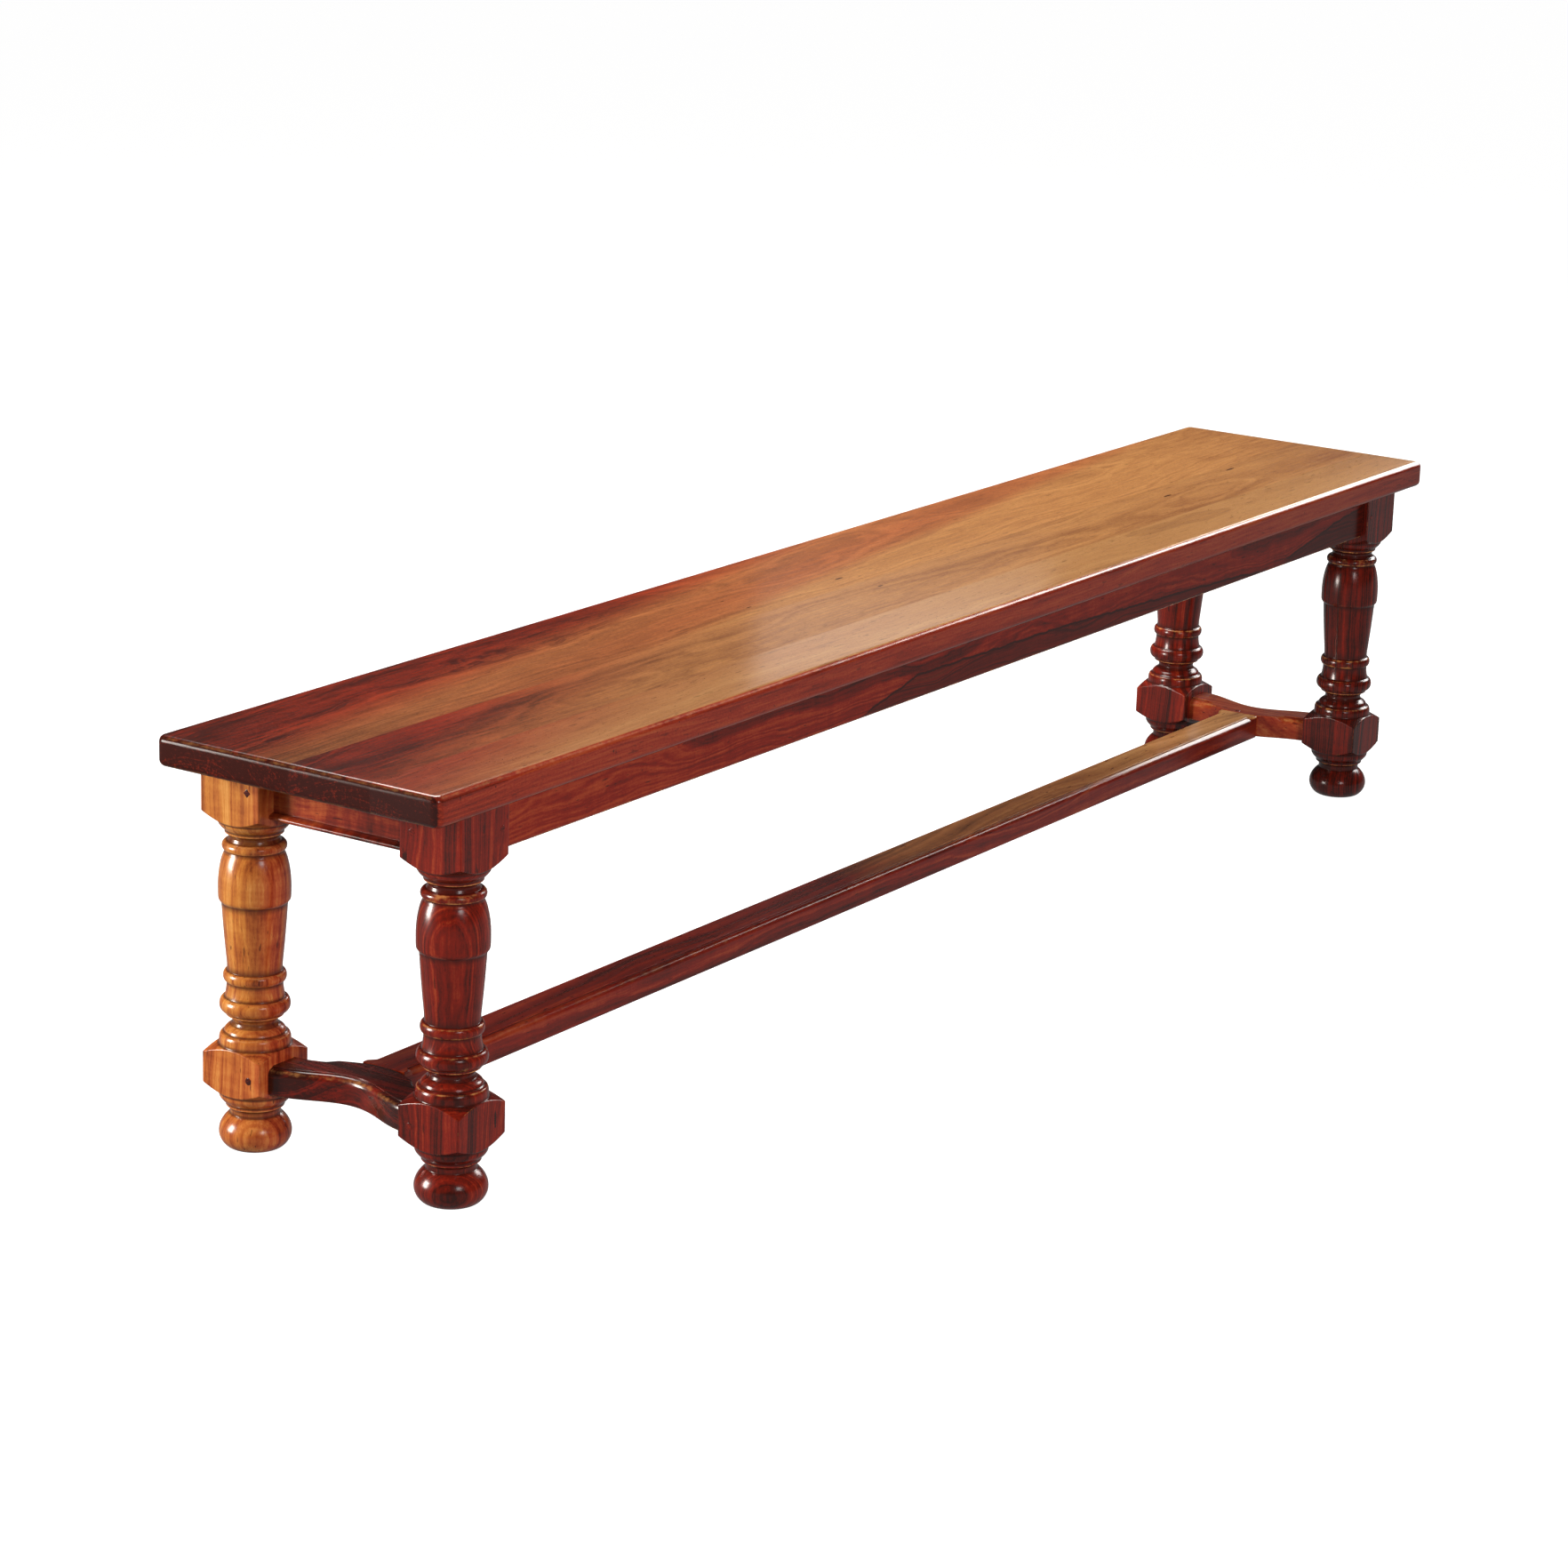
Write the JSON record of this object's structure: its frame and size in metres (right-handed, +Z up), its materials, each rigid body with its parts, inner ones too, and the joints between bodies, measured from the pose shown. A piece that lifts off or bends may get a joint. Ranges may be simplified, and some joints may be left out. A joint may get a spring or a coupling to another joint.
{
  "type": "bench",
  "caption": "Long backless hardwood bench with a plank seat, turned vase-and-bead legs with square blocks and bun feet, aprons, and bowed end stretchers joined by a low rail.",
  "frame": {"origin": "on the floor under the middle of the seat", "axes": "+X along the bench to its right end, +Y from the front to the back, +Z up"},
  "size_m": [2.12, 0.36, 0.45],
  "materials": {
    "seat_wood": "reddish brown stained hardwood, glossy varnish",
    "leg_wood": "reddish brown to amber stained hardwood, glossy varnish",
    "apron_wood": "red-brown stained hardwood with dark streaks, glossy varnish",
    "stretcher_wood": "red-brown stained hardwood, glossy varnish",
    "peg_wood": "dark stained end grain, varnished",
    "button_wood": "bare planed hardwood",
    "screw_steel": "plain steel"
  },
  "bodies": {
    "root": {"seat_board_front": "seat_wood", "seat_board_middle": "seat_wood", "seat_board_back": "seat_wood", "leg_front_left": "leg_wood", "leg_back_left": "leg_wood", "leg_front_right": "leg_wood", "leg_back_right": "leg_wood", "apron_front": "apron_wood", "apron_back": "apron_wood", "apron_left": "apron_wood", "apron_right": "apron_wood", "end_stretcher_left": "stretcher_wood", "end_stretcher_right": "stretcher_wood", "centre_rail": "stretcher_wood", "end_apron_peg_front_left": "peg_wood", "side_apron_peg_front_left": "peg_wood", "stretcher_peg_front_left": "peg_wood", "end_apron_peg_back_left": "peg_wood", "side_apron_peg_back_left": "peg_wood", "stretcher_peg_back_left": "peg_wood", "end_apron_peg_front_right": "peg_wood", "side_apron_peg_front_right": "peg_wood", "stretcher_peg_front_right": "peg_wood", "end_apron_peg_back_right": "peg_wood", "side_apron_peg_back_right": "peg_wood", "stretcher_peg_back_right": "peg_wood", "rail_peg_left": "peg_wood", "rail_peg_right": "peg_wood", "seat_button_front_1": "button_wood", "seat_button_front_2": "button_wood", "seat_button_front_3": "button_wood", "seat_button_front_4": "button_wood", "seat_button_back_1": "button_wood", "seat_button_back_2": "button_wood", "seat_button_back_3": "button_wood", "seat_button_back_4": "button_wood", "seat_button_left": "button_wood", "seat_button_right": "button_wood", "button_screw_front_1": "screw_steel", "button_screw_front_2": "screw_steel", "button_screw_front_3": "screw_steel", "button_screw_front_4": "screw_steel", "button_screw_back_1": "screw_steel", "button_screw_back_2": "screw_steel", "button_screw_back_3": "screw_steel", "button_screw_back_4": "screw_steel", "button_screw_left": "screw_steel", "button_screw_right": "screw_steel"}
  },
  "joints": []
}
